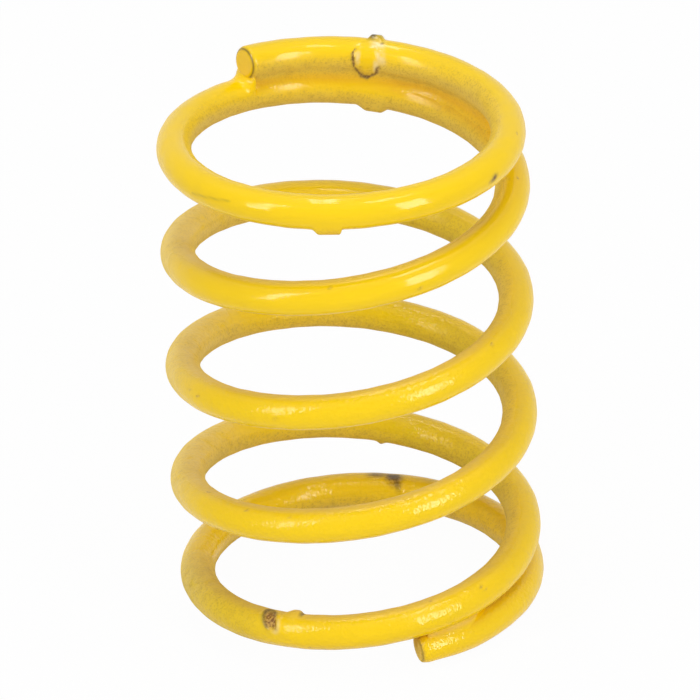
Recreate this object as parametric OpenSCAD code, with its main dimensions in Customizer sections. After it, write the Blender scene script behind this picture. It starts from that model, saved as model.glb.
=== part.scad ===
// Brake shoe spring: one length of round wire wound into a compression coil.
// Both ends are closed and left unground, so each tip rests on the turn next to it.
// The axis of the coil is Z and the lower tip stands on Z = 0.

/* [Wire and coil] */
// Diameter of the round wire with its paint
wire_d = 2; // [1.6:0.05:2.4]
// Diameter of the coil between the wire's centres
coil_d = 19.3; // [14:0.1:26]
// Free length from the lower seat to the upper seat
free_length = 31.7; // [26:0.1:40]
// Turns of wire from tip to tip
turn_count = 5.54; // [5:0.01:6.5]
// Direction of the lower tip round the axis
low_tip_angle = -70; // [-180:1:180]

/* [Lower end] */
// Arc of the lower end coil that is wound almost level
low_level_arc = 205; // [150:5:240]
// Arc over which the pitch then grows to that of the open turns
low_rise_arc = 235; // [180:5:300]
// Arc of the lower tip that bends to lie along its neighbour
low_rest_arc = 40; // [10:5:80]
// Distance of the lower end coil's centre from the axis
low_offset = 0.25; // [0:0.05:0.6]

/* [Upper end] */
// Arc of the upper end coil that is wound almost level
top_level_arc = 165; // [120:5:220]
// Arc over which the pitch falls from that of the open turns
top_rise_arc = 300; // [200:5:330]
// Arc of the upper tip that bends to lie along its neighbour
top_rest_arc = 145; // [40:5:180]

/* [Tips] */
// How much closer to the axis the end coils are wound
end_tuck = 0.15; // [0:0.05:0.4]
// Arc over which an end coil comes back to the full coil
end_fade_arc = 200; // [120:10:240]
// Gap between a tip and the turn it rests on
tip_gap = 0.05; // [0.05:0.01:0.2]
// Size of the broken edge round each cut end
cut_edge = 0.25; // [0.1:0.05:0.5]

/* [Smoothness] */
// Sides of the wire's section
wire_sides = 18; // [12:2:20]
// Wire sections in each turn
turn_sections = 46; // [36:2:48]

/* [Hidden] */
paint_colour = [0.98, 0.81, 0.08];
turn = 360;
span = turn_count * turn;
touch = wire_d + tip_gap;

// A polygon of this radius has the same area as the round wire's section
section_r = wire_d / 2 * sqrt(2 * PI / (wire_sides * sin(turn / wire_sides)));

// Smooth step from 0 to 1, and its integral along an arc
function clamp01(s) = min(max(s, 0), 1);
function smooth(s) = let (k = clamp01(s)) k ^ 2 * (3 - 2 * k);
function smooth_sum(angle, start, arc) =
    let (k = clamp01((angle - start) / arc))
    arc * (k ^ 3 - k ^ 4 / 2) + max(angle - start - arc, 0);

// Bend of a tip along its neighbour, per unit of pitch difference
function lean(level, rise, rest) = rest / (2 * turn) * smooth((turn - level) / rise);

// Share of the pitch difference that the first turn of an end gains
function gain(level, rise, rest) = smooth_sum(turn, level, rise) / turn + lean(level, rise, rest);

// Turns of an end that count as wound at the tip's own pitch
function held(level, rise, rest) = (level + rise / 2) / turn - lean(level, rise, rest);

low_lean = lean(low_level_arc, low_rise_arc, low_rest_arc);
low_gain = gain(low_level_arc, low_rise_arc, low_rest_arc);
low_turns = held(low_level_arc, low_rise_arc, low_rest_arc) / (1 - low_gain);
top_lean = lean(top_level_arc, top_rise_arc, top_rest_arc);
top_gain = gain(top_level_arc, top_rise_arc, top_rest_arc);
top_turns = held(top_level_arc, top_rise_arc, top_rest_arc) / (1 - top_gain);

// Pitches that give the free length with both tips on their neighbours
open_pitch = (free_length - wire_d - touch * (low_turns + top_turns)) / (turn_count - low_turns - top_turns);
low_pitch = (touch - open_pitch * low_gain) / (1 - low_gain);
top_pitch = (touch - open_pitch * top_gain) / (1 - top_gain);
low_bend = low_lean * (open_pitch - low_pitch);
top_bend = top_lean * (open_pitch - top_pitch);

// Height of the wire's centre at an angle wound from the lower tip
function height(a) =
    wire_d / 2 + low_bend
    - low_bend * max(1 - a / low_rest_arc, 0) ^ 2
    + top_bend * max(1 - (span - a) / top_rest_arc, 0) ^ 2
    + (low_pitch * a
       + (open_pitch - low_pitch) * smooth_sum(a, low_level_arc, low_rise_arc)
       - (open_pitch - top_pitch) * smooth_sum(a, span - top_level_arc - top_rise_arc, top_rise_arc)) / turn;

// Share of each end coil's form that is left at an angle
function low_share(a) = 1 - smooth((a - low_level_arc) / end_fade_arc);
function top_share(a) = 1 - smooth((span - a - top_level_arc) / end_fade_arc);

// Centre of the wire at an angle wound from the lower tip
function centre(a) =
    let (r = coil_d / 2 - end_tuck * (low_share(a) + top_share(a)), way = low_tip_angle + a)
    [r * cos(way) + low_offset * low_share(a), r * sin(way), height(a)];

// Direction of the wire, from two points a small angle apart
function unit(v) = v / norm(v);
function along(a) = let (small = 0.05) unit(centre(a + small) - centre(a - small));

// Ring of points round the wire, square to its direction
function ring(a, r) =
    let (
        way = low_tip_angle + a,
        outward = [cos(way), sin(way), 0],
        forward = along(a),
        side = unit(outward - forward * (forward * outward)),
        up = cross(side, forward)
    )
    [for (i = [0:wire_sides - 1])
        let (phi = turn * (i + 0.5) / wire_sides)
        centre(a) + r * (side * cos(phi) + up * sin(phi))];

// Angles of the wire's sections, with a broken edge at each cut end
edge_arc = cut_edge / (PI * coil_d) * turn;
section_count = ceil(turn_count * turn_sections);
body_angles = [for (i = [0:section_count]) edge_arc + (span - 2 * edge_arc) * i / section_count];
rings = concat(
    [ring(0, section_r - cut_edge)],
    [for (a = body_angles) ring(a, section_r)],
    [ring(span, section_r - cut_edge)]
);

// The wire's skin: a band between each ring and the next, and a cut face at each end
module spring() {
    last = len(rings) - 1;
    skin = [for (k = [0:last - 1], i = [0:wire_sides - 1])
        let (j = (i + 1) % wire_sides, p = k * wire_sides, q = p + wire_sides)
        each [[p + i, q + j, q + i], [p + i, p + j, q + j]]];
    low_face = [for (i = [wire_sides - 1:-1:0]) i];
    top_face = [for (i = [0:wire_sides - 1]) last * wire_sides + i];
    color(paint_colour)
        polyhedron(points = [for (r = rings) each r], faces = concat([low_face], skin, [top_face]), convexity = 12);
}

spring();
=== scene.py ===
"""Looks of a brake shoe spring: a painted wire coil with runs and bare marks, on a white stage."""

import math
from typing import NamedTuple

import bpy
import numpy as np
from bpy.props import FloatProperty, FloatVectorProperty, IntProperty, PointerProperty
from mathutils import Matrix, Quaternion, Vector


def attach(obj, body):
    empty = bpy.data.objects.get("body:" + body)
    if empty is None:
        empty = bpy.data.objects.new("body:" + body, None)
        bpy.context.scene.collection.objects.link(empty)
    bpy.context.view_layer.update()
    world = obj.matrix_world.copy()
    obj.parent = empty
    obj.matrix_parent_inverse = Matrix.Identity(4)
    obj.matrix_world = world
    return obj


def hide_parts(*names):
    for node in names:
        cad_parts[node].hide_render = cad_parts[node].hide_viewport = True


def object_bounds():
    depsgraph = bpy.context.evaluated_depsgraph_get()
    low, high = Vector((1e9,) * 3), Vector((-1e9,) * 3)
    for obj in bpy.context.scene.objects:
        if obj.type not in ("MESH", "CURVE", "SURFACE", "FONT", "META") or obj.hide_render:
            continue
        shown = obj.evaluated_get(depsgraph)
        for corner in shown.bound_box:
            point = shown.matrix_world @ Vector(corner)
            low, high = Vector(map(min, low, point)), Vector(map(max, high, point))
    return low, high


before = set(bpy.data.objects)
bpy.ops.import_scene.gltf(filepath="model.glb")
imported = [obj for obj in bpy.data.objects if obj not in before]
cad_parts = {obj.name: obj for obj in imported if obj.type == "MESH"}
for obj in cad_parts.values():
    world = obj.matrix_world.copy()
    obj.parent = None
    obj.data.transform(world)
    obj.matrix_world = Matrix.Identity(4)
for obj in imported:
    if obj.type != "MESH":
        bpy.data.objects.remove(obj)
cad_box = [list(corner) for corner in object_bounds()]

bl_info = {
    "name": "Brake Shoe Spring",
    "version": (1, 0, 0),
    "blender": (4, 5, 0),
    "location": "3D View > Sidebar > Spring",
    "description": "Winds a painted compression spring and sets it on a white stage",
    "category": "Object",
}

MM = 0.001
TURN = 2 * math.pi
PHOTO_PIXELS = 700


class CoilSizes(bpy.types.PropertyGroup):
    """Sizes of the wound wire, the same as those of the solid it stands for, and of the paint at its ends."""

    wire_d: FloatProperty(
        name="Wire diameter", description="Diameter of the round wire with its paint",
        default=2.0 * MM, unit="LENGTH")
    coil_d: FloatProperty(
        name="Coil diameter", description="Diameter of the coil between the wire's centres",
        default=19.3 * MM, unit="LENGTH")
    free_length: FloatProperty(
        name="Free length", description="Height from the lower seat to the upper seat",
        default=round(cad_box[1][2] - cad_box[0][2], 4), unit="LENGTH")
    turn_count: FloatProperty(
        name="Turns", description="Turns of wire from tip to tip", default=5.54)
    low_tip_angle: FloatProperty(
        name="Lower tip", description="Direction of the lower tip round the axis",
        default=math.radians(-70), subtype="ANGLE")
    low_level_arc: FloatProperty(
        name="Lower level arc", description="Arc of the lower end coil that is wound almost level",
        default=math.radians(205), subtype="ANGLE")
    low_rise_arc: FloatProperty(
        name="Lower rise arc", description="Arc over which the pitch grows to that of the open turns",
        default=math.radians(235), subtype="ANGLE")
    low_rest_arc: FloatProperty(
        name="Lower rest arc", description="Arc of the lower tip that lies along its neighbour",
        default=math.radians(40), subtype="ANGLE")
    low_offset: FloatProperty(
        name="Lower offset", description="Distance of the lower end coil's centre from the axis",
        default=0.25 * MM, unit="LENGTH")
    top_level_arc: FloatProperty(
        name="Upper level arc", description="Arc of the upper end coil that is wound almost level",
        default=math.radians(165), subtype="ANGLE")
    top_rise_arc: FloatProperty(
        name="Upper rise arc", description="Arc over which the pitch falls from that of the open turns",
        default=math.radians(300), subtype="ANGLE")
    top_rest_arc: FloatProperty(
        name="Upper rest arc", description="Arc of the upper tip that lies along its neighbour",
        default=math.radians(145), subtype="ANGLE")
    end_tuck: FloatProperty(
        name="End tuck", description="How much closer to the axis the end coils are wound",
        default=0.15 * MM, unit="LENGTH")
    end_fade_arc: FloatProperty(
        name="End fade arc", description="Arc over which an end coil comes back to the full coil",
        default=math.radians(200), subtype="ANGLE")
    tip_gap: FloatProperty(
        name="Tip gap", description="Gap between a tip and the turn it rests on, before the paint fills it",
        default=0.05 * MM, unit="LENGTH")
    low_edge: FloatProperty(
        name="Lower cut edge", description="Radius of the paint over the edge of the lower cut end",
        default=0.45 * MM, unit="LENGTH")
    top_edge: FloatProperty(
        name="Upper cut edge", description="Radius of the paint over the edge of the upper cut end",
        default=0.32 * MM, unit="LENGTH")
    low_paint: FloatProperty(
        name="Lower end paint", description="Thickness of the paint on the lower cut face",
        default=0.32 * MM, unit="LENGTH")
    top_paint: FloatProperty(
        name="Upper end paint", description="Thickness of the paint on the upper cut face",
        default=0.14 * MM, unit="LENGTH")
    low_fill_arc: FloatProperty(
        name="Lower fill arc", description="Arc of the crease at the lower tip that paint has filled",
        default=math.radians(28), subtype="ANGLE")
    top_fill_arc: FloatProperty(
        name="Upper fill arc", description="Arc of the crease at the upper tip that paint has filled",
        default=math.radians(108), subtype="ANGLE")
    sides: IntProperty(
        name="Sides", description="Points round the wire's section", default=52)
    rings: IntProperty(
        name="Rings", description="Sections along the wire", default=1800)


class PaintLooks(bpy.types.PropertyGroup):
    """Colours and gloss of the painted wire."""

    fresh: FloatVectorProperty(
        name="Fresh paint", description="Thick glossy paint on the open faces",
        default=(0.95, 0.632, 0.001), subtype="COLOR", size=3, min=0, max=1)
    # Thin colour: thin dull paint, and also painted shade under and inside the turns and on the lower coils'
    # sides
    thin: FloatVectorProperty(
        name="Thin paint", description="Thin dusty paint on sheltered faces",
        default=(0.77, 0.545, 0.08), subtype="COLOR", size=3, min=0, max=1)
    # Pooled colour: thick paint in the creases, also painted shade there
    deep: FloatVectorProperty(
        name="Pooled paint", description="Thick paint that has pooled in a crease",
        default=(0.80, 0.42, 0.01), subtype="COLOR", size=3, min=0, max=1)
    # Olive colour: thin coat over dark wire, and also painted shade inside the coils' back
    olive_and_shade: FloatVectorProperty(
        name="Sparse paint", description="Olive tint where the dark wire shows through the coat",
        default=(0.66, 0.49, 0.003), subtype="COLOR", size=3, min=0, max=1)
    fleck: FloatVectorProperty(
        name="Dust fleck", description="Fine dark flecks in the thin paint",
        default=(0.40, 0.21, 0.02), subtype="COLOR", size=3, min=0, max=1)
    dust: FloatVectorProperty(
        name="Dust", description="Brown dust on top of the lower coils",
        default=(0.68, 0.435, 0.11), subtype="COLOR", size=3, min=0, max=1)
    # Pale colour: worn paint at the hang mark, also painted highlights on rims and painted sheen on the
    # coils' left
    pale: FloatVectorProperty(
        name="Pale paint", description="Broken paint along a rim",
        default=(0.90, 0.72, 0.36), subtype="COLOR", size=3, min=0, max=1)
    rust: FloatVectorProperty(
        name="Bare spot", description="Brown metal where the paint is missing",
        default=(0.25, 0.105, 0.02), subtype="COLOR", size=3, min=0, max=1)
    tan: FloatVectorProperty(
        name="Bare grain", description="Pale grain in the bare metal",
        default=(0.64, 0.38, 0.09), subtype="COLOR", size=3, min=0, max=1)
    # Dark colour: metal at chips and cut edges, also painted shadow at the hang rim and the lower crease's
    # seam
    dark: FloatVectorProperty(
        name="Dark metal", description="Dark grey metal at chips and cut edges",
        default=(0.07, 0.05, 0.03), subtype="COLOR", size=3, min=0, max=1)
    gloss: FloatProperty(
        name="Gloss roughness", description="Roughness of the fresh paint", default=0.1, min=0, max=1)
    dull: FloatProperty(
        name="Dull roughness", description="Roughness of the thin paint", default=0.5, min=0, max=1)


class StageLooks(bpy.types.PropertyGroup):
    """Camera, lamps and floor."""

    elevation: FloatProperty(
        name="Camera elevation", description="Angle of the view above the floor",
        default=math.radians(27.567), subtype="ANGLE")
    roll: FloatProperty(
        name="Camera roll", description="Turn of the picture about the line of sight",
        default=math.radians(2.1816), subtype="ANGLE")
    distance: FloatProperty(
        name="Camera distance", description="Distance from the aim point", default=0.8, unit="LENGTH")
    pixels_per_metre: FloatProperty(
        name="Picture scale", description="Pixels of the picture for a metre at the aim point", default=17370)
    aim_height: FloatProperty(
        name="Aim height", description="Height of the aim point on the axis",
        default=15.4 * MM, unit="LENGTH")
    aim_right: FloatProperty(
        name="Aim shift right", description="Shift of the camera to its right",
        default=-0.0216 * MM, unit="LENGTH")
    aim_up: FloatProperty(
        name="Aim shift up", description="Shift of the camera upwards", default=0.459 * MM, unit="LENGTH")
    room: FloatProperty(
        name="Room light", description="Strength of the even light of the room", default=0.36, min=0)
    left_power: FloatProperty(
        name="Left lamp", description="Power of the left soft box", default=0.82, unit="POWER", min=0)
    right_power: FloatProperty(
        name="Right lamp", description="Power of the right soft box", default=1.3, unit="POWER", min=0)
    long_power: FloatProperty(
        name="Long top lamp", description="Power of the long lamp overhead",
        default=0.36, unit="POWER", min=0)
    strip_power: FloatProperty(
        name="Top strip", description="Power of the narrow strip overhead", default=0.17, unit="POWER", min=0)
    top_power: FloatProperty(
        name="Top fill", description="Power of the wide soft lamp overhead", default=1.5, unit="POWER", min=0)
    floor: FloatVectorProperty(
        name="Floor", description="Colour of the floor", default=(0.8, 0.8, 0.8), subtype="COLOR", size=3)


def smooth(share):
    """Smooth step: 0 below 0, 1 above 1, and 3s^2 - 2s^3 between."""
    s = np.clip(share, 0, 1)
    return s ** 2 * (3 - 2 * s)


def smooth_sum(angle, start, arc):
    """Integral of the smooth step over an arc: arc (s^3 - s^4 / 2) inside it, then one for one."""
    s = np.clip((angle - start) / arc, 0, 1)
    return arc * (s ** 3 - s ** 4 / 2) + np.maximum(angle - start - arc, 0)


class Coil:
    """Centre line of the wire as a function of the angle wound from the lower tip.

    The pitch is almost level at each end and grows over a smooth arc to that of the open turns. The last
    arc of each tip bends to lie along its neighbour. The pitches are solved so that both tips rest on
    their neighbours at the given free length.
    """

    def __init__(self, sizes):
        self.sizes = sizes
        self.wire_r = sizes.wire_d / 2
        self.coil_r = sizes.coil_d / 2
        self.span = sizes.turn_count * TURN
        touch = sizes.wire_d + sizes.tip_gap
        low = self.end_shares(sizes.low_level_arc, sizes.low_rise_arc, sizes.low_rest_arc)
        top = self.end_shares(sizes.top_level_arc, sizes.top_rise_arc, sizes.top_rest_arc)
        free = sizes.free_length - sizes.wire_d - touch * (low["turns"] + top["turns"])
        self.open_pitch = free / (sizes.turn_count - low["turns"] - top["turns"])
        self.low_pitch = (touch - self.open_pitch * low["gain"]) / (1 - low["gain"])
        self.top_pitch = (touch - self.open_pitch * top["gain"]) / (1 - top["gain"])
        self.low_bend = low["lean"] * (self.open_pitch - self.low_pitch)
        self.top_bend = top["lean"] * (self.open_pitch - self.top_pitch)

    @staticmethod
    def end_shares(level, rise, rest):
        """Shares of an end: its bend per pitch difference, its first turn's gain, its level turns."""
        lean = rest / (2 * TURN) * smooth((TURN - level) / rise)
        gain = smooth_sum(TURN, level, rise) / TURN + lean
        turns = ((level + rise / 2) / TURN - lean) / (1 - gain)
        return {"lean": lean, "gain": gain, "turns": turns}

    def height(self, wound):
        """Wire radius, plus the tips' quadratic bends, plus the pitch summed over the angle."""
        s = self.sizes
        low_tip = np.maximum(1 - wound / s.low_rest_arc, 0) ** 2
        top_tip = np.maximum(1 - (self.span - wound) / s.top_rest_arc, 0) ** 2
        low_rise = smooth_sum(wound, s.low_level_arc, s.low_rise_arc)
        top_rise = smooth_sum(wound, self.span - s.top_level_arc - s.top_rise_arc, s.top_rise_arc)
        climb = (self.low_pitch * wound + (self.open_pitch - self.low_pitch) * low_rise
                 - (self.open_pitch - self.top_pitch) * top_rise) / TURN
        return self.wire_r + self.low_bend * (1 - low_tip) + self.top_bend * top_tip + climb

    def centre(self, wound):
        """Coil radius less the end tuck, turned by the angle, with the lower end's offset and its height."""
        s = self.sizes
        low = 1 - smooth((wound - s.low_level_arc) / s.end_fade_arc)
        top = 1 - smooth((self.span - wound - s.top_level_arc) / s.end_fade_arc)
        radius = self.coil_r - s.end_tuck * (low + top)
        way = s.low_tip_angle + wound
        x = radius * np.cos(way) + s.low_offset * low
        return np.stack([x, radius * np.sin(way), self.height(wound)], axis=-1)

    def axes(self, wound):
        """Unit vectors along the wire, then square to it: outward from the coil's axis, and up."""
        small = 1e-4
        forward = self.centre(wound + small) - self.centre(wound - small)
        forward /= np.linalg.norm(forward, axis=-1, keepdims=True)
        way = self.sizes.low_tip_angle + wound
        side = np.stack([np.cos(way), np.sin(way), np.zeros_like(way)], axis=-1)
        side -= forward * np.sum(forward * side, axis=-1, keepdims=True)
        side /= np.linalg.norm(side, axis=-1, keepdims=True)
        return forward, side, np.cross(side, forward)


class Place(NamedTuple):
    """A place on the wire: degrees wound from the lower tip, and degrees round from outward to up."""

    wound: float
    round: float


# Places of the marks in the paint
HANG_MARK = Place(1949.0, 152.4)
HANG_RIM = Place(1949.0, 168)
HANG_NUB = Place(1947.4, 74)
NUB_FLECK = Place(1944.6, 103)
BACK_DRIP = Place(1587.4, -112)
FRONT_DRIP = Place(1773.8, -70)
DRIP_CORNER = Place(1776, -58)
BARE_SPOT = Place(308.9, 57)
SPOT_SWELL = Place(312.6, 38)
SPOT_BUMP = Place(316.6, 104)
BUMP_END = Place(319.2, 106)
BACK_CHIP = Place(147.6, 103)
CHIP_MIDDLE = Place(147.8, 92)
CHIP_TAIL = Place(145.9, 124)
CHIP_STRIP = Place(153.8, 88)
BACK_NUB = Place(509.2, -120)
SCRATCH_START = Place(1725.6, 0)
SCRATCH_END = Place(1741.5, 22)

# Places of the specks, and half the length of each in millimetres
DARK_SPECKS = [
    (Place(1834.8, 3), 0.2),
    (Place(1833.2, -2), 0.14),
]
BROWN_SPECKS = [
    (Place(1889.7, 114), 0.09),
    (Place(1859.2, 48), 0.09),
    (Place(1839.3, 110), 0.09),
    (Place(1868.2, 134), 0.09),
    (Place(1503.7, 100), 0.09),
    (Place(1504.2, 68), 0.09),
    (Place(1113.7, 60), 0.09),
    (Place(998.4, 26), 0.09),
    (Place(1003.9, 22), 0.09),
    (Place(1035.9, 4), 0.09),
    (Place(640.9, 82), 0.09),
    (Place(662.3, 64), 0.09),
    (Place(1442.3, -10), 0.11),
    (Place(1415.1, 58), 0.08),
    (Place(678.3, 58), 0.08),
    (Place(383.5, 50), 0.09),
    (Place(384.0, 34), 0.09),
    (Place(365.1, 84), 0.09),
    (Place(299.7, -44), 0.09),
    (Place(323.2, -36), 0.09),
]

# Shear of the bare spot
SPOT_SKEW = 0.45

# Degrees wound to the middle of the scratch, and to that of the bare spot with its bump
SCRATCH_MIDDLE = 1733
SPOT_MIDDLE = 310.9

# Degrees wound to the wire over the lower tip, and from the upper tip back to the wire under it
OVER_LOW_TIP = 362
UNDER_TOP_TIP = 358

# Degrees round the section, from outward to up
OUTWARD = 0
HEAP_TOP = 97
UPPER_SIDE = 100
TRIMMED_SIDE = 262
COVERED_SIDE = 285
UNDER_SIDE = -90

# The lower tip is pressed up by a height, and trimmed below by a depth in millimetres, over arcs in radians
LOW_LIFT = 0.12 * MM
LOW_LIFT_ARC = 0.35
LOW_TRIM = 0.16
LOW_TRIM_ARC = 0.32

# Turn of the left side's thin paint, painted shade and sheen towards the back; radians wound to its start and
# to the worn side
LEFT_TURN = 0.15
LEFT_START = 4.2
WORN_MIDDLE = 4.85
WORN_HALF = 0.5


def oval(x, y, half_x, half_y, power=4.0):
    """Patch that is 1 in its middle and 1/e at its half widths."""
    return np.exp(-np.abs(x / half_x) ** power - np.abs(y / half_y) ** power)


def band(distance, half_width):
    """Line that is 1 at no distance and 1/e at its half width."""
    return np.exp(-(distance / half_width) ** 2)


class Skin:
    """Grid of points over the painted wire: a row for each section, a column for each angle round it.

    The first and last rows fill the cut faces, the next ones round their edges, and the rest run along
    the wire, closer together where the paint is marked. full is 1 along the wire and 0 on the cut faces.
    """

    FACE_ROWS = 10
    EDGE_ROWS = 9
    EDGES_TO_BODY = 1.5
    FINE_ANGLES = 20000
    MARK_REACH = math.radians(8)
    MARK_DENSITY = 2.2

    def __init__(self, coil):
        self.coil = coil
        sizes = coil.sizes
        low_r, low_past = self.cut_end(sizes.low_edge)
        top_r, top_past = self.cut_end(sizes.top_edge)
        inset = self.EDGES_TO_BODY
        body = self.body_angles(inset * sizes.low_edge / coil.coil_r, inset * sizes.top_edge / coil.coil_r)
        low_rows = (low_past - sizes.low_paint) / coil.coil_r
        top_rows = coil.span + (sizes.top_paint - top_past[::-1]) / coil.coil_r
        self.wound = np.concatenate([low_rows, body, top_rows])[:, None]
        self.radius = np.concatenate([low_r, np.full(body.size, coil.wire_r), top_r[::-1]])[:, None]
        self.phi = (np.arange(sizes.sides) / sizes.sides * TURN)[None, :]
        self.full = smooth((self.radius / coil.wire_r - 0.8) / 0.2)

    def cut_end(self, edge):
        """Radius of each row of a cut end and its distance behind the face: a flat face, a quarter round."""
        face = np.linspace(0, 1, self.FACE_ROWS + 2)[1:-1]
        turn = np.linspace(0, math.pi / 2, self.EDGE_ROWS)
        flat_r = self.coil.wire_r - edge
        radius = np.concatenate([face * flat_r, flat_r + edge * np.sin(turn)])
        return radius, np.concatenate([np.zeros(self.FACE_ROWS), edge * (1 - np.cos(turn))])

    def body_angles(self, first, last):
        """Angles whose spacing is the inverse of a density that rises near each mark."""
        fine = np.linspace(first, self.coil.span - last, self.FINE_ANGLES)
        under_top = math.degrees(self.coil.span) - UNDER_TOP_TIP
        marks = np.radians([HANG_MARK.wound, BACK_DRIP.wound, FRONT_DRIP.wound, SPOT_MIDDLE,
                            BACK_CHIP.wound, BACK_NUB.wound, under_top, OVER_LOW_TIP, SCRATCH_MIDDLE])
        near = band(fine[:, None] - marks, self.MARK_REACH)
        density = 1 + self.MARK_DENSITY * np.sum(near, axis=1)
        total = np.concatenate([[0], np.cumsum((density[1:] + density[:-1]) / 2)])
        return np.interp(np.linspace(0, total[-1], self.coil.sizes.rings), total, fine)

    def points(self):
        """Each row's centre plus its radius and relief along the direction round the section."""
        _, side, up = self.coil.axes(self.wound[:, 0])
        direction = side[:, None] * np.cos(self.phi)[..., None] + up[:, None] * np.sin(self.phi)[..., None]
        reach = self.radius + paint_relief(self)
        return self.middles()[:, None] + direction * reach[..., None]

    def middles(self):
        """Middle of each row: the wire's centre, with the lower tip pressed up against its neighbour."""
        middles = self.coil.centre(self.wound[:, 0])
        middles[:, 2] += LOW_LIFT * smooth(1 - self.wound[:, 0] / LOW_LIFT_ARC)
        return middles

    def around(self, degrees):
        """Distance in millimetres round the section from an angle."""
        angle = self.phi - math.radians(degrees)
        return ((angle + math.pi) % TURN - math.pi) * self.coil.wire_r / MM

    def from_place(self, place, skew=0.0):
        """Distances in millimetres from a place: along the wire, sheared by a skew, and round it."""
        across = self.around(place.round)
        along = (self.wound - math.radians(place.wound)) * self.coil.coil_r / MM
        return along + skew * across, across

    def bell(self, place, length, width, power=2.0, skew=0.0):
        """Swelling that is 1 at a place and 1/e at a half length along the wire or a half width round it."""
        return oval(*self.from_place(place, skew), length, width, power)

    def ring(self, place, length, width, thickness, skew=0.0):
        """Oval line round a place: a bell across the distance from an ellipse with those half axes."""
        along, across = self.from_place(place, skew)
        reach = np.hypot(along / length, across / width)
        return band((reach - 1) * min(length, width), thickness)

    def run(self, place, back, front, back_slope, front_slope, width):
        """Paint run with a flat foot: smooth steps up and down along the wire, and a bell round it."""
        along, across = self.from_place(place)
        length = smooth((along - back) / back_slope + 0.5) * smooth((front - along) / front_slope + 0.5)
        return length * np.exp(-np.abs(across / width) ** 3)

    def line(self, start, end, thickness):
        """Line straight between two places on the unrolled wire."""
        along, across = self.from_place(start)
        far_along = math.radians(end.wound - start.wound) * self.coil.coil_r / MM
        far_across = math.radians(end.round - start.round) * self.coil.wire_r / MM
        share = np.clip((along * far_along + across * far_across) / (far_along ** 2 + far_across ** 2), 0, 1)
        return band(np.hypot(along - share * far_along, across - share * far_across), thickness)


class Web:
    """Paint in the crease between a tip's strand and the turn that it rests on.

    A section has an arc on each side that touches both wires. The waist is half the paint's width midway
    between the wires, and half is half the distance between their centres. The arc's radius is
    (waist^2 + half^2 - r^2) / (2 (r - waist)), about a point beside the crease. Where it touches a wire it
    goes on round it and sinks in, so that no edge shows. fill is the waist over the wire's radius at each
    row, and retreat is how far the middle of a row is drawn along the wire, so that the paint ends in a
    hollow.
    """

    ARC_POINTS = 20
    SINK_ANGLES = np.radians([4.0, 9.0, 15.0])
    SINK_DEPTHS = np.array([0.006, 0.025, 0.07]) * MM

    def __init__(self, coil, wound, step, fill, retreat):
        here = coil.centre(wound)
        there = coil.centre(wound + step * TURN)
        half = np.linalg.norm(there - here, axis=1)[:, None] / 2
        axis = (there - here) / (2 * half)
        lateral = np.cross(coil.axes(wound)[0], axis)
        lateral /= np.linalg.norm(lateral, axis=1, keepdims=True)
        waist = coil.wire_r * fill[:, None]
        arc_r = (waist ** 2 + half ** 2 - coil.wire_r ** 2) / (2 * (coil.wire_r - waist))
        share = np.linspace(-1, 1, self.ARC_POINTS)[None, :]
        reach = np.arctan2(half, waist + arc_r)
        sunk_r = coil.wire_r - self.SINK_DEPTHS
        sunk_out = sunk_r * np.cos(self.SINK_ANGLES - reach)
        sunk_rise = half + sunk_r * np.sin(self.SINK_ANGLES - reach)
        out = np.hstack([sunk_out[:, ::-1], waist + arc_r * (1 - np.cos(reach * share)), sunk_out])
        rise = np.hstack([-sunk_rise[:, ::-1], arc_r * np.sin(reach * share), sunk_rise])
        out = np.hstack([out, -out[:, ::-1]])[..., None]
        rise = np.hstack([rise, rise[:, ::-1]])[..., None]
        sunk = self.SINK_ANGLES.size
        side_share = np.pad(share, ((0, 0), (sunk, sunk)), mode="edge")
        self.coil = coil
        self.wounds = wound[:, None], wound[:, None] + step * TURN
        self.grid = (here + there)[:, None] / 2 + lateral[:, None] * out + axis[:, None] * rise
        self.towards = np.hstack([side_share, side_share[:, ::-1]])
        drawn = retreat[:, None] * (1 - self.towards ** 2)
        self.grid += coil.axes(wound)[0][:, None] * drawn[..., None]

    def directions(self, wound):
        """Upward and outward parts of the direction to each point from a strand's centre line."""
        _, side, up = self.coil.axes(wound[:, 0])
        away = self.grid - self.coil.centre(wound[:, 0])[:, None]
        away /= np.linalg.norm(away, axis=-1, keepdims=True)
        return np.sum(away * up[:, None], axis=-1), np.sum(away * side[:, None], axis=-1)


def heap(skin):
    """Paint heaped against the foot of the upper cut face, on the turn below it, in millimetres.

    Beyond the face it is a quarter-round fillet: the size less the chord of its circle. Under the tip it
    narrows and fades out.
    """
    size = 0.8
    past = ((skin.wound - skin.coil.span + TURN) * skin.coil.coil_r - skin.coil.sizes.top_paint) / MM
    across = skin.around(HEAP_TOP)
    under = smooth(-past / 0.6)
    left = 1 - np.clip(past / size, 0, 1)
    fillet = size * (1 - np.sqrt(1 - left ** 2)) * (1 - under)
    return fillet * band(across ** 2, 0.7 - 0.6 * under)


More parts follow.
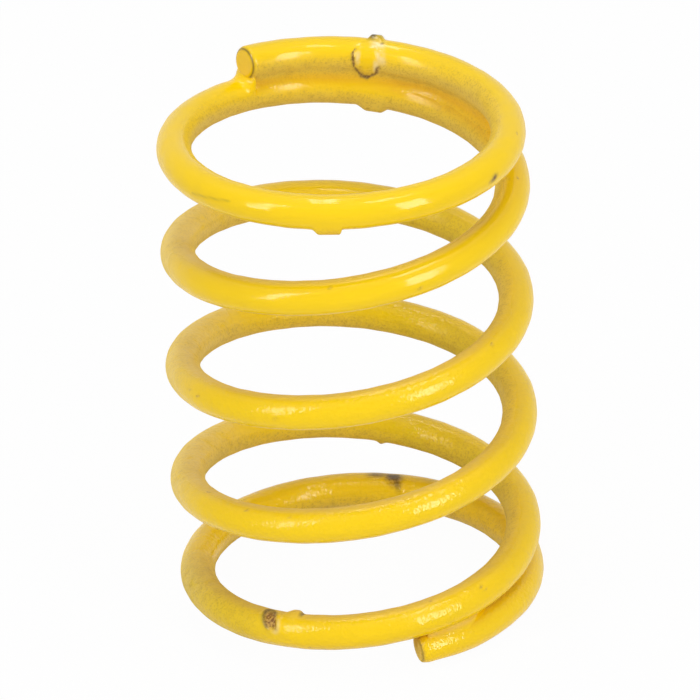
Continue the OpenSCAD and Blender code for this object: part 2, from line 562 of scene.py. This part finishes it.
def paint_relief(skin):
    """Height of the paint over the round wire, in metres: runs, rims, bumps, a heap and a slow waviness.

    The lower side of the lower tip is cut back.
    """
    below_rim = smooth((skin.around(HANG_RIM.round) + 0.95) / 0.4)
    low_trim = smooth(1 - skin.wound / LOW_TRIM_ARC) * oval(0, skin.around(TRIMMED_SIDE), 1, 0.9)
    mm = (
        0.26 * skin.bell(HANG_NUB, 0.41, 0.36, 6)
        + 0.08 * skin.ring(HANG_RIM, 0.74, 1.0, 0.15) * below_rim
        + 0.28 * skin.run(BACK_DRIP, -0.66, 0.78, 0.5, 0.75, 0.62)
        + 0.29 * skin.run(FRONT_DRIP, -0.62, 0.80, 0.45, 0.16, 0.55)
        + 0.10 * skin.ring(BARE_SPOT, 0.52, 0.68, 0.13, SPOT_SKEW)
        - 0.07 * skin.bell(BARE_SPOT, 0.36, 0.48, 4, SPOT_SKEW)
        + 0.21 * skin.run(SPOT_BUMP, -0.45, 0.30, 0.7, 0.25, 0.45)
        + 0.08 * skin.bell(SPOT_SWELL, 0.22, 0.4, 2, SPOT_SKEW)
        - 0.04 * skin.bell(BACK_CHIP, 0.5, 0.5, 4)
        + 0.13 * skin.bell(BACK_NUB, 0.22, 0.3)
        - LOW_TRIM * low_trim
        + heap(skin)
    )
    return MM * (mm + waviness(skin)) * skin.full


def waviness(skin):
    """Slow unevenness of the coat, in millimetres: a few sines along the wire and round it."""
    turns = [(9.0, 1, 0.3), (17.0, 2, 1.7), (29.0, 1, 4.0), (43.0, 3, 2.2)]
    waves = [np.sin(rate * skin.wound + fold * skin.phi + start) for rate, fold, start in turns]
    return 0.004 * np.sum(waves, axis=0)


def hang_masks(points, coil):
    """Broken rim, pale bands and fresh middle of the mark where the spring hung, with painted shadow and
    highlight.

    They are laid out flat, in millimetres along the wire, down the face and out of it from the wire's centre.
    """
    wound = np.array([math.radians(HANG_MARK.wound)])
    forward, side, up = [axis[0] for axis in coil.axes(wound)]
    round_angle = math.radians(HANG_MARK.round)
    face = side * math.cos(round_angle) + up * math.sin(round_angle)
    downward = up * math.cos(round_angle) - side * math.sin(round_angle)
    away = (points - coil.centre(wound)[0]) / MM
    along = away @ forward
    down = away @ downward
    front = smooth((away @ face + 0.4) / 0.4) * (np.abs(along) < 3)
    middle_along, middle_down = 0.05, 0.23
    half_length, half_height = 0.83, 0.98
    reach = np.hypot((along - middle_along) / half_length, (down - middle_down) / half_height)
    way = np.arctan2(down - middle_down, along - middle_along)
    reach += 0.045 * np.sin(3 * way + 0.6) + 0.02 * np.sin(8 * way) + 0.012 * np.sin(13 * way + 2)
    uneven = 0.09 + 0.03 * np.sin(5 * way + 1) + 0.02 * np.sin(17 * way)
    left = smooth((along - 0.1) / 0.3) * smooth((down + 0.4) / 0.25)
    lower = smooth((down - 0.5) / 0.25)
    # Pale bands: worn paint, partly painted highlights on the lumps by the rim
    pale = np.maximum.reduce([
        oval(along - 0.56, down - 0.2, 0.13, 0.36),
        oval(along + 0.76 + 0.2 * down, down - 0.02, 0.26, 0.48),
        oval(along + 0.52, down - 0.62, 0.17, 0.36),
        oval(along + 0.5, down + 0.66, 0.42, 0.22),
    ])
    return {
        # Bare rim with a dark outer line that is partly painted shadow beside the ridge
        "rim": front * band(reach - 1, uneven) * np.maximum(left, lower),
        "pale": 0.7 * front * pale,
        "fresh": front * np.exp(-(reach / 0.75) ** 4),
    }


def skin_masks(skin, points):
    """How much of each kind of mark there is at every point of the wire, from 0 to 1."""
    hang = hang_masks(points, skin.coil)
    nub_along, nub_across = skin.from_place(HANG_NUB)
    nub_cap = skin.bell(HANG_NUB, 0.46, 0.46, 4) * smooth((0.46 - nub_across) / 0.12)
    nub_cap *= 0.5 + 0.5 * smooth((nub_along + 0.1) / 0.25)
    spot_along, spot_across = skin.from_place(BARE_SPOT, SPOT_SKEW)
    spot_side = np.maximum(smooth((spot_across - 0.1) / 0.4), smooth((-spot_along - 0.05) / 0.3))
    spot_low = smooth((0.15 - spot_across) / 0.3) * smooth((spot_along + 0.2) / 0.4)
    cut_line = band(skin.radius / MM - np.where(skin.wound < 1, 0.78, 0.86), 0.06)
    top_cut = (skin.wound > skin.coil.span - 0.1) * smooth((np.abs(skin.around(COVERED_SIDE)) - 0.7) / 0.4)
    low_cut = (skin.wound < 0.1) * oval(0, skin.around(OUTWARD), 1, 1.1)
    dark = np.maximum.reduce([
        # The hang rim's dark line, partly painted shadow of its ridge
        0.6 * hang["rim"],
        0.95 * nub_cap,
        0.8 * skin.bell(NUB_FLECK, 0.09, 0.12),
        0.85 * skin.bell(CHIP_MIDDLE, 0.52, 0.42, 3, 0.2),
        0.65 * skin.bell(CHIP_TAIL, 0.22, 0.5, 2, 0.3),
        0.55 * skin.bell(CHIP_STRIP, 0.55, 0.3, 4),
        0.28 * skin.line(SCRATCH_START, SCRATCH_END, 0.07),
        0.75 * skin.ring(BARE_SPOT, 0.44, 0.60, 0.10, SPOT_SKEW) * spot_side,
        0.75 * skin.bell(BUMP_END, 0.12, 0.36, 4),
        0.8 * cut_line * top_cut,
        0.6 * cut_line * low_cut,
        *[0.85 * skin.bell(place, size, 0.8 * size) for place, size in DARK_SPECKS],
    ])
    rust = np.maximum.reduce([
        skin.bell(BARE_SPOT, 0.42, 0.58, 6, SPOT_SKEW),
        0.75 * skin.bell(BACK_CHIP, 0.52, 0.62, 3, 0.35),
        0.5 * skin.bell(CHIP_STRIP, 0.55, 0.4, 2),
        0.6 * skin.bell(BACK_NUB, 0.2, 0.25),
        hang["rim"],
        *[0.9 * skin.bell(place, size, 0.8 * size) for place, size in DARK_SPECKS + BROWN_SPECKS],
    ])
    # Painted highlight: a pale arc along the raised rim below the bare spot
    rim = 0.5 * skin.ring(BARE_SPOT, 0.56, 0.74, 0.09, SPOT_SKEW) * spot_low
    # Pale: worn paint, painted highlights and the painted sheen on the left of the lower coils
    pale = np.maximum.reduce([hang["pale"], rim, painted_left_sheen(skin)])
    # Thin coat, with painted shade under and inside the turns and on the lower coils' sides
    thin = thin_paint_and_shade(skin.coil, skin.wound, np.sin(skin.phi), np.cos(skin.phi))
    thin = thin * (1 - 0.8 * hang["fresh"])
    thin = thin * skin.full + np.where(skin.wound < 1, 0.55, 0.0) * (1 - skin.full)
    return {
        "dark": dark, "rust": rust, "pale": pale, "thin": thin,
        "pooled": pooled_paint_and_crease_shade(skin), "olive_and_shade": olive_coat_and_shade(skin), **dusty_paint(skin),
    }


def pooled_paint_and_crease_shade(skin):
    """Where the paint is thick and deep in colour, partly painted shade: along the creases at the tips, and
    at the front run.
    """
    from_low = skin.wound
    from_top = skin.coil.span - skin.wound
    above = skin.around(UPPER_SIDE)
    below = skin.around(UNDER_SIDE)
    top_strand = (from_top > TURN) * (1 - smooth((from_top - TURN - 1.6) / 0.6))
    low_tip = 1 - smooth((from_low - 0.25) / 0.25)
    low_strand = (from_low > TURN) * (1 - smooth((from_low - TURN - 0.25) / 0.25))
    # Painted shade: deeper colour along the creases where a strand rests on its neighbour
    creases = np.maximum.reduce([
        0.5 * top_strand * oval(0, above, 1, 0.9),
        0.6 * low_tip * oval(0, above, 1, 0.8),
        0.5 * low_strand * oval(0, below, 1, 0.6),
        0.45 * skin.bell(DRIP_CORNER, 0.5, 0.35),
    ])
    return np.maximum(creases, np.where(from_low < 1, 0.15, 0.2) * (1 - skin.full))


def lower_coils(coil, wound):
    """1 on the lower coils, which get more dust and painted shade, and 0 on the top coil, which stayed
    cleaner.
    """
    return 1 - smooth((coil.height(wound) / coil.sizes.free_length - 0.7) / 0.2)


def left_side(coil, wound):
    """1 on the left of the coils, from halfway round the left of the bottom one upwards."""
    way = coil.sizes.low_tip_angle + wound
    return smooth(-np.cos(way + LEFT_TURN) * 3 - 2) * smooth((wound - LEFT_START) / 0.3)


def thin_paint_and_shade(coil, wound, rise, out):
    """Where the coat is thin and dull, with painted shade: under and inside the turns, and on the sides of
    the lower coils.

    The bottom coil's left is worn more. The direction round the wire has an upward part, rise, and an
    outward part, out.
    """
    # Painted shade under and inside the turns, where the coat is also thin
    sheltered = smooth((0.2 - 0.8 * rise - 0.45 * out) / 1.15)
    inner = smooth(-out * 1.2)
    way = coil.sizes.low_tip_angle + wound
    left = left_side(coil, wound)
    right = smooth(np.cos(way) * 1.4 - 0.4)
    lower = lower_coils(coil, wound)
    sides = (0.28 * left + 0.1 * right) * lower + inner * (0.55 * right + 0.3 * left * (1 - lower))
    thin = (0.75 - 0.2 * lower) * sheltered + sides + 0.06
    thin = thin * (0.55 + 0.45 * smooth((wound - 2.2) / 1.0)) + 0.32 * worn_side(wound)
    return np.clip(thin, 0, 1)


def worn_side(wound):
    """1 on the left of the bottom coil, up to its bare spot."""
    return oval(wound - WORN_MIDDLE, 0, WORN_HALF, 1)


def olive_coat_and_shade(skin):
    """Where the dark wire shows through: inside the middle coils' back, with painted shade there, and on the
    bottom coil's left.
    """
    way = skin.coil.sizes.low_tip_angle + skin.wound
    # Inside the back of the middle coils: olive thin coat and painted shade
    back = smooth(1.6 * np.sin(way) + 0.1) * (0.1 + 0.9 * smooth(1.5 * np.cos(way) + 0.3))
    middle = lower_coils(skin.coil, skin.wound) * smooth((skin.wound - 3.5) / 3)
    return 0.55 * back * middle * smooth(0.3 - 1.2 * np.cos(skin.phi)) + 0.3 * worn_side(skin.wound)


def dusty_paint(skin):
    """Dust along the top of the lower coils, most at the front, and the raggedness of their coat."""
    lower = lower_coils(skin.coil, skin.wound)
    above = skin.around(UPPER_SIDE)
    front = smooth(-1.2 * np.sin(skin.coil.sizes.low_tip_angle + skin.wound))
    dusty = lower * (0.3 + 0.7 * front) * oval(0, above, 1, 0.55)
    share = skin.coil.height(skin.wound) / skin.coil.sizes.free_length
    ragged = 0.1 + 0.9 * (1 - smooth((share - 0.52) / 0.16))
    return {"dusty": dusty, "ragged": np.broadcast_to(ragged, dusty.shape)}


def painted_left_sheen(skin):
    """Painted sheen: a pale haze on the left of the lower coils, outside and on top."""
    left = left_side(skin.coil, skin.wound)
    return 0.2 * left * lower_coils(skin.coil, skin.wound) * smooth(0.9 + 0.6 * np.cos(skin.phi - 1.1))


def web_masks(web, points, low):
    """Masks of the paint in a crease. At each edge the coat is as thin as on the wire there.

    Between them the paint is deep in colour with painted shade, most beside the neighbour. The lower crease
    is paler, with a dark painted shade line along its seam.
    """
    hang = hang_masks(points, web.coil)
    near = smooth((web.towards + 1) / 2)
    edges = [thin_paint_and_shade(web.coil, wound, *web.directions(wound)) for wound in web.wounds]
    thin = edges[0] * (1 - near) + edges[1] * near
    deep = smooth((web.towards + 0.7) / 0.9) * (1 - 0.75 * smooth((web.towards - 0.3) / 0.7))
    return {
        # Painted shade: a dark line along the lower crease's seam under the upper strand
        "dark": np.maximum(0.6 * hang["rim"], 0.35 * low * band(web.towards - 0.85, 0.09)),
        "rust": hang["rim"],
        "pale": np.maximum(hang["pale"], 0.16 * low * band(web.towards - 0.3, 0.5)),
        "pooled": 0.6 * deep,
        "olive_and_shade": 0.0,
        "thin": thin * (1 - 0.5 * low) * (1 - 0.8 * hang["fresh"]),
        "dusty": 0.0,
        "ragged": 0.6 + 0.2 * low,
    }


class Term:
    """A shader value. It wraps an output socket, and arithmetic on it adds Math nodes."""

    def __init__(self, finish, socket):
        self.finish = finish
        self.socket = socket

    def math(self, operation, first, second=0.0):
        """Adds a Math node and wraps its output."""
        node = self.finish.node("ShaderNodeMath", {"operation": operation}, {0: first, 1: second})
        return Term(self.finish, node.outputs[0])

    def __add__(self, other):
        return self.math("ADD", self, other)

    def __radd__(self, other):
        return self.math("ADD", other, self)

    def __sub__(self, other):
        return self.math("SUBTRACT", self, other)

    def __rsub__(self, other):
        return self.math("SUBTRACT", other, self)

    def __mul__(self, other):
        return self.math("MULTIPLY", self, other)

    def __rmul__(self, other):
        return self.math("MULTIPLY", other, self)

    def step(self, low, high):
        """Smooth step from 0 at low to 1 at high."""
        settings = {"interpolation_type": "SMOOTHSTEP"}
        inputs = {"Value": self, "From Min": low, "From Max": high}
        return Term(self.finish, self.finish.node("ShaderNodeMapRange", settings, inputs).outputs["Result"])


class Finish:
    """The nodes of a material or of the world while they are being made."""

    def __init__(self, owner):
        owner.use_nodes = True
        self.tree = owner.node_tree
        self.tree.nodes.clear()

    def node(self, kind, settings=None, inputs=None):
        """Adds a node of any type: its settings are set first, then the values or links of its sockets."""
        made = self.tree.nodes.new(kind)
        for name, value in (settings or {}).items():
            setattr(made, name, value)
        for name, value in (inputs or {}).items():
            socket = made.inputs[name]
            source = value.socket if isinstance(value, Term) else value
            if isinstance(source, bpy.types.NodeSocket):
                self.tree.links.new(source, socket)
            else:
                socket.default_value = source
        return made

    def value(self, kind, output, settings=None, inputs=None):
        """A node's output as a value for arithmetic."""
        return Term(self, self.node(kind, settings, inputs).outputs[output])

    def attribute(self, name):
        """A number kept on the mesh's points."""
        return self.value("ShaderNodeAttribute", "Fac", {"attribute_name": name})

    def noise(self, scale, detail=2.0):
        """Noise over the object's own coordinates, with a scale in cells per metre."""
        place = self.node("ShaderNodeTexCoord").outputs["Object"]
        inputs = {"Vector": place, "Scale": scale, "Detail": detail}
        return self.value("ShaderNodeTexNoise", "Fac", None, inputs)

    def blend(self, under, over, share):
        """One colour laid over another by a share."""
        inputs = {"Factor": share, 6: self.colour(under), 7: self.colour(over)}
        return self.node("ShaderNodeMix", {"data_type": "RGBA"}, inputs).outputs[2]

    @staticmethod
    def colour(value):
        """A colour property as four numbers; a link passes through."""
        return value if isinstance(value, bpy.types.NodeSocket) else (*value, 1.0)


def yellow_paint(looks):
    """Gloss yellow paint over spring steel: thin dusty parts, flecks, bare spots, pale rims, painted shade
    and highlights.

    It is made once, and every piece shares it.
    """
    if "painted_coat" in bpy.data.materials:
        return bpy.data.materials["painted_coat"]
    material = bpy.data.materials.new("painted_coat")
    finish = Finish(material)
    peel = finish.noise(1500, 3)
    grain = finish.noise(8500, 2)
    patch = finish.noise(420, 3)
    lumps = finish.noise(2600, 3)
    ripple = finish.noise(4400, 1)
    thin = finish.attribute("thin") * (0.6 + 0.8 * patch)
    dull = thin.step(0.05, 0.95)
    fleck = (0.31 * grain.step(0.48, 0.66) + 0.15 * lumps.step(0.46, 0.66)) * thin.step(0.05, 0.5)
    dusty = finish.attribute("dusty") * (0.3 + 0.5 * patch + 0.5 * lumps)
    metal = finish.blend(looks.rust, looks.tan, finish.noise(6500, 2).step(0.42, 0.6))
    # The thin colour is partly painted shade
    colour = finish.blend(looks.fresh, looks.thin, dull)
    # Olive tint, partly painted shade inside the back of the coils
    colour = finish.blend(colour, looks.olive_and_shade, finish.attribute("olive_and_shade") * (0.5 + patch))
    colour = finish.blend(colour, looks.fleck, fleck)
    colour = finish.blend(colour, looks.dust, 0.55 * dusty)
    # Deeper colour in the creases, partly painted shade
    colour = finish.blend(colour, looks.deep, finish.attribute("pooled") * (0.4 + patch))
    # Pale worn paint, with painted highlights and painted sheen
    colour = finish.blend(colour, looks.pale, finish.attribute("pale") * peel.step(0.25, 0.5))
    colour = finish.blend(colour, metal, finish.attribute("rust"))
    colour = finish.blend(colour, looks.dark, finish.attribute("dark") * lumps.step(0.12, 0.42))
    edge = finish.value("ShaderNodeLayerWeight", "Facing", None, {"Blend": 0.5}).step(0.6, 1.0)
    rough = looks.gloss + (looks.dull - looks.gloss) * thin.step(0.02, 0.7)
    rough = rough + 0.04 * peel + 0.3 * dusty + 0.3 * edge
    ragged = finish.attribute("ragged")
    relief = peel * (0.08 + 0.12 * ragged) + (0.1 * lumps + 0.36 * ripple) * ragged + 0.04 * grain * dull
    bump = finish.node("ShaderNodeBump", None, {"Strength": 0.35, "Distance": 0.3 * MM, "Height": relief})
    shader = finish.node("ShaderNodeBsdfPrincipled", None, {
        "Base Color": colour, "Roughness": rough, "Specular IOR Level": 0.26,
        "Normal": bump.outputs["Normal"]})
    finish.node("ShaderNodeOutputMaterial", None, {"Surface": shader.outputs["BSDF"]})
    return material


def tube_mesh(name, points, masks):
    """Mesh of a closed tube: quads between its rows of points, and a ladder of quads across each end row.

    A rung of a ladder joins the point that is a number of places after the row's first to the one that is
    as many before its last.
    """
    rows, columns = points.shape[:2]
    row = np.arange(rows - 1)[:, None] * columns
    column = np.arange(columns)[None, :]
    after = (column + 1) % columns
    quads = np.stack([row + column, row + columns + column, row + columns + after, row + after], axis=-1)
    rung = np.arange(columns // 2 - 1)
    first_cap = np.stack([rung, rung + 1, columns - 2 - rung, columns - 1 - rung], axis=-1)
    last_cap = (rows - 1) * columns + first_cap[:, ::-1]
    faces = np.concatenate([quads.reshape(-1, 4), first_cap, last_cap])
    mesh = bpy.data.meshes.new(name)
    mesh.from_pydata(points.reshape(-1, 3).tolist(), [], faces.tolist())
    mesh.polygons.foreach_set("use_smooth", np.ones(len(mesh.polygons), bool))
    for mask_name, mask in masks.items():
        values = np.broadcast_to(mask, (rows, columns)).reshape(-1).astype(np.float32)
        mesh.attributes.new(mask_name, "FLOAT", "POINT").data.foreach_set("value", values)
    mesh.update()
    return mesh


def add_piece(context, mesh):
    """Adds a painted piece that moves with the spring."""
    mesh.materials.append(yellow_paint(context.scene.spring_paint))
    piece = bpy.data.objects.new(mesh.name, mesh)
    context.scene.collection.objects.link(piece)
    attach(piece, "root")
    return piece


class SPRING_OT_wind_wire(bpy.types.Operator):
    """Winds the painted wire from tip to tip and gives it its paint"""

    bl_idname = "spring.wind_wire"
    bl_label = "Wind Wire"

    def execute(self, context):
        coil = Coil(context.scene.spring_coil)
        skin = Skin(coil)
        points = skin.points()
        wire = add_piece(context, tube_mesh("painted_wire", points, skin_masks(skin, points)))
        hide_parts("spring")
        return {"FINISHED"}


class SPRING_OT_fill_creases(bpy.types.Operator):
    """Fills the crease behind each tip with paint"""

    bl_idname = "spring.fill_creases"
    bl_label = "Fill Creases"
    TOP_ROWS = 220
    LOW_ROWS = 140

    def execute(self, context):
        coil = Coil(context.scene.spring_coil)
        sizes = coil.sizes
        top_arc = np.linspace(sizes.top_fill_arc, 0.6 * sizes.top_edge / coil.coil_r, self.TOP_ROWS)
        # The fill falls away from the tip, and the far end is thin and drawn into a hollow
        top_end = smooth(1 - (sizes.top_fill_arc - top_arc) / 0.4)
        top_fill = 0.74 - 0.36 * smooth((top_arc - 0.6) / 0.7) - 0.32 * top_end
        top_fill *= 0.88 + 0.12 * smooth(top_arc / 0.08)
        top_retreat = 0.9 * MM * smooth(1 - (sizes.top_fill_arc - top_arc) * coil.coil_r / (3 * MM))
        top_web = Web(coil, coil.span - top_arc, -1, top_fill, top_retreat)
        self.add_web(context, "top_crease_paint", top_web, 0)
        low_arc = np.linspace(0.6 * sizes.low_edge / coil.coil_r, sizes.low_fill_arc, self.LOW_ROWS)
        # The lower one is the same but shorter, and shallow at the cut face
        low_fill = 0.64 - 0.58 * smooth((low_arc / sizes.low_fill_arc - 0.5) / 0.5)
        low_fill *= 0.7 + 0.3 * smooth(low_arc / 0.09)
        low_retreat = -0.4 * MM * smooth(1 - (sizes.low_fill_arc - low_arc) * coil.coil_r / (1.5 * MM))
        low_web = Web(coil, low_arc, 1, low_fill, low_retreat)
        self.add_web(context, "low_crease_paint", low_web, 1)
        return {"FINISHED"}

    def add_web(self, context, name, web, low):
        """Adds the paint of one crease."""
        points = web.grid
        add_piece(context, tube_mesh(name, points, web_masks(web, points, low)))


def soft_box(name, aim, power, azimuth, elevation, distance, width, height, gloss=0.0, spin=0.0):
    """A soft box: an area lamp that faces the aim point from an azimuth off the camera's and an elevation.

    gloss is a share of its power for a second lamp just behind it, which shows only in the paint's gloss.
    spin turns both about their own axis. Angles are in degrees and lengths in metres.
    """
    a, e = math.radians(azimuth), math.radians(elevation)
    back = Vector((math.sin(a) * math.cos(e), -math.cos(a) * math.cos(e), math.sin(e)))
    lamp = bpy.data.lights.new(name, "AREA")
    lamp.shape = "RECTANGLE"
    lamp.size = width
    lamp.size_y = height
    lamp.energy = power
    box = bpy.data.objects.new(name, lamp)
    box.location = aim + back * distance
    turn = Quaternion((0, 0, 1), math.radians(spin))
    box.rotation_euler = (back.to_track_quat("Z", "Y") @ turn).to_euler()
    bpy.context.scene.collection.objects.link(box)
    if gloss:
        shine = box.copy()
        shine.name = name + "_shine"
        shine.data = lamp.copy()
        shine.data.energy = gloss * power
        shine.location += back * MM
        shine.visible_diffuse = False
        bpy.context.scene.collection.objects.link(shine)


def direct_ray(finish):
    """1 for rays that come from the camera, off a glossy face or through glass, and 0 for the rest."""
    path = finish.node("ShaderNodeLightPath")
    camera = Term(finish, path.outputs["Is Camera Ray"])
    glossy = Term(finish, path.outputs["Is Glossy Ray"])
    through = Term(finish, path.outputs["Is Transmission Ray"])
    return (camera + glossy + through).step(0, 1)


def white_floor(colour):
    """Pale matt floor. Seen directly it is nearly white, and it keeps a faint shadow."""
    material = bpy.data.materials.new("white_floor")
    finish = Finish(material)
    matt = finish.node("ShaderNodeBsdfDiffuse", None, {"Color": (*colour, 1.0)})
    glow = finish.node("ShaderNodeEmission", None, {"Color": (1, 1, 1, 1), "Strength": 1.0})
    glow_share = direct_ray(finish) * 0.97
    mix = finish.node("ShaderNodeMixShader", None, {0: glow_share, 1: matt.outputs[0], 2: glow.outputs[0]})
    finish.node("ShaderNodeOutputMaterial", None, {"Surface": mix.outputs[0]})
    return material


class SPRING_OT_set_stage(bpy.types.Operator):
    """Sets the camera, the soft boxes, the room's light and the floor"""

    bl_idname = "spring.set_stage"
    bl_label = "Set Stage"

    def execute(self, context):
        stage = context.scene.spring_stage
        aim = Vector((0, 0, stage.aim_height))
        self.set_camera(context, stage, aim)
        soft_box("left_box", aim, stage.left_power, azimuth=-54, elevation=30,
                 distance=0.5, width=0.105, height=0.40, gloss=0.4)
        soft_box("right_box", aim, stage.right_power, azimuth=43, elevation=14,
                 distance=0.5, width=0.16, height=0.50, gloss=0.95)
        soft_box("long_top_box", aim, stage.long_power, azimuth=-151, elevation=78,
                 distance=0.5, width=0.055, height=0.33, gloss=0.5, spin=-35)
        soft_box("top_strip", aim, stage.strip_power, azimuth=62, elevation=74.7,
                 distance=0.5, width=0.16, height=0.07, gloss=0.8)
        soft_box("top_fill", aim, stage.top_power, azimuth=0, elevation=88,
                 distance=0.8, width=1.3, height=1.3)
        self.set_room(context, stage)
        self.set_floor(context, stage)
        context.scene.view_settings.view_transform = "Standard"
        return {"FINISHED"}

    def set_camera(self, context, stage, aim):
        """Camera at the photo's elevation, roll and scale, aimed at a point on the axis."""
        forward = Vector((0, math.cos(stage.elevation), -math.sin(stage.elevation)))
        level_right = Vector((1, 0, 0))
        level_up = Vector((0, math.sin(stage.elevation), math.cos(stage.elevation)))
        right = level_right * math.cos(stage.roll) - level_up * math.sin(stage.roll)
        up = level_right * math.sin(stage.roll) + level_up * math.cos(stage.roll)
        data = bpy.data.cameras.new("photo_camera")
        data.lens = stage.pixels_per_metre * stage.distance / PHOTO_PIXELS * data.sensor_width
        camera = bpy.data.objects.new("photo_camera", data)
        place = aim - forward * stage.distance + right * stage.aim_right + up * stage.aim_up
        camera.matrix_world = Matrix.Translation(place) @ Matrix((right, up, -forward)).transposed().to_4x4()
        context.scene.collection.objects.link(camera)
        context.scene.camera = camera

    def set_room(self, context, stage):
        """White to the camera and in reflections, and an even pale light for the rest."""
        world = bpy.data.worlds.new("white_room")
        context.scene.world = world
        finish = Finish(world)
        strength = stage.room + (1 - stage.room) * direct_ray(finish)
        light = finish.node("ShaderNodeBackground", None, {"Color": (1, 1, 1, 1), "Strength": strength})
        finish.node("ShaderNodeOutputWorld", None, {"Surface": light.outputs[0]})

    def set_floor(self, context, stage):
        """A wide flat sheet under the spring: a grid of two by two points."""
        reach = 3.0
        u, v = np.meshgrid([-reach, reach], [-reach, reach])
        verts = np.stack([u.ravel(), v.ravel(), np.zeros(4)], axis=-1)
        mesh = bpy.data.meshes.new("floor")
        mesh.from_pydata(verts.tolist(), [], [(0, 1, 3, 2)])
        mesh.materials.append(white_floor(stage.floor))
        floor = bpy.data.objects.new("floor", mesh)
        context.scene.collection.objects.link(floor)


class SPRING_PT_panel(bpy.types.Panel):
    """Lists the spring's steps and sizes"""

    bl_label = "Brake Shoe Spring"
    bl_idname = "SPRING_PT_panel"
    bl_space_type = "VIEW_3D"
    bl_region_type = "UI"
    bl_category = "Spring"

    def draw(self, context):
        scene = context.scene
        for group in (scene.spring_coil, scene.spring_paint, scene.spring_stage):
            box = self.layout.box()
            for name in group.__annotations__:
                box.prop(group, name)
        for operator in (SPRING_OT_wind_wire, SPRING_OT_fill_creases, SPRING_OT_set_stage):
            self.layout.operator(operator.bl_idname)


CLASSES = (CoilSizes, PaintLooks, StageLooks, SPRING_OT_wind_wire, SPRING_OT_fill_creases,
           SPRING_OT_set_stage, SPRING_PT_panel)


def register():
    """Registers the classes and hangs the three property groups on the scene."""
    for cls in CLASSES:
        bpy.utils.register_class(cls)
    bpy.types.Scene.spring_coil = PointerProperty(type=CoilSizes)
    bpy.types.Scene.spring_paint = PointerProperty(type=PaintLooks)
    bpy.types.Scene.spring_stage = PointerProperty(type=StageLooks)


def unregister():
    """Takes back what register added, in reverse order."""
    del bpy.types.Scene.spring_stage
    del bpy.types.Scene.spring_paint
    del bpy.types.Scene.spring_coil
    for cls in reversed(CLASSES):
        bpy.utils.unregister_class(cls)


def main():
    """Builds the spring and its stage."""
    register()
    bpy.ops.spring.wind_wire()
    bpy.ops.spring.fill_creases()
    bpy.ops.spring.set_stage()


if __name__ == "__main__":
    main()
